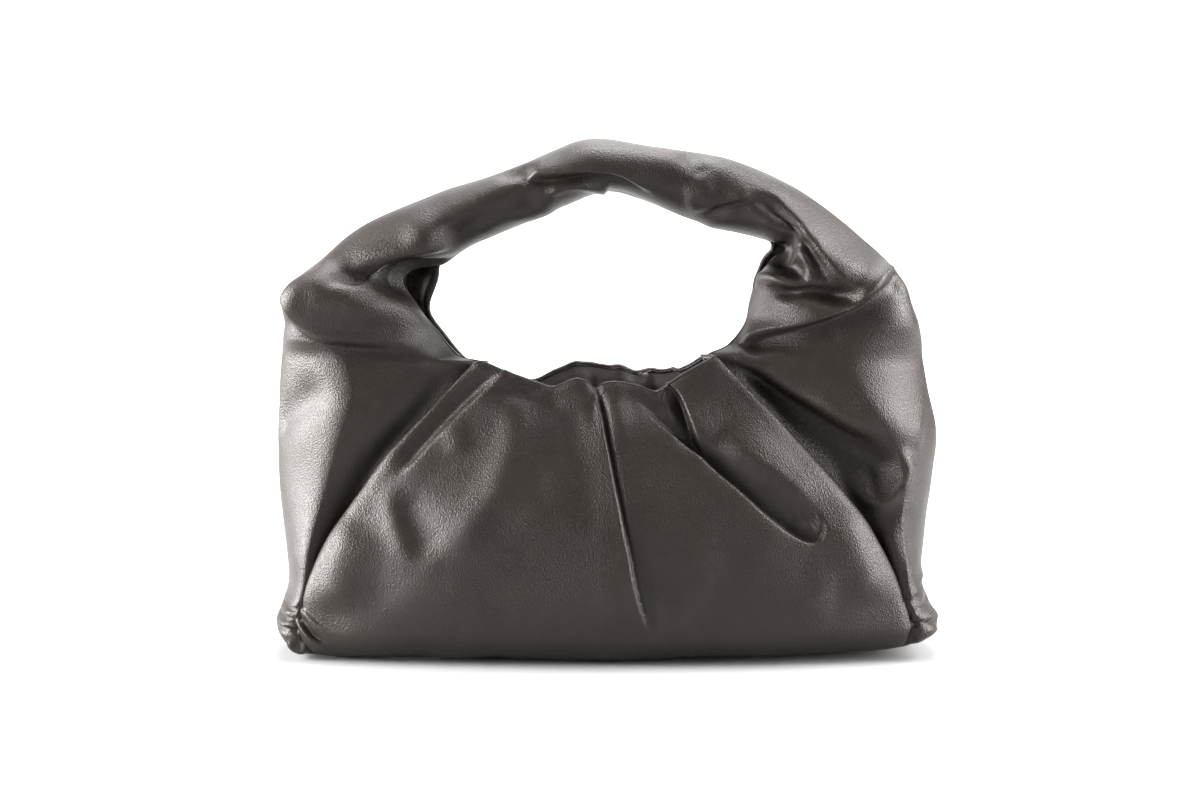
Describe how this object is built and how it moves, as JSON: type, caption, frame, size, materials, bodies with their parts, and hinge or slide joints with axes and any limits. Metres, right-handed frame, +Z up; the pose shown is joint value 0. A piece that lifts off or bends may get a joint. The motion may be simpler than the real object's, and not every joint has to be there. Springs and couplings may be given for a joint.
{
  "type": "shoulder bag",
  "caption": "Soft leather shoulder bag with a bulging pleated body, a gathered open mouth and a scrunched tubular handle that continues from its sides.",
  "frame": {"origin": "middle of the base on the surface that the bag rests on", "axes": "+X to the right of someone looking at the front, +Y from front to back, +Z up"},
  "size_m": [0.4224, 0.1622, 0.3259],
  "materials": {
    "leather": "smooth satin"
  },
  "bodies": {
    "root": {"front_panel": "leather", "back_panel": "leather", "base_panel": "leather", "handle_band": "leather"}
  },
  "joints": []
}
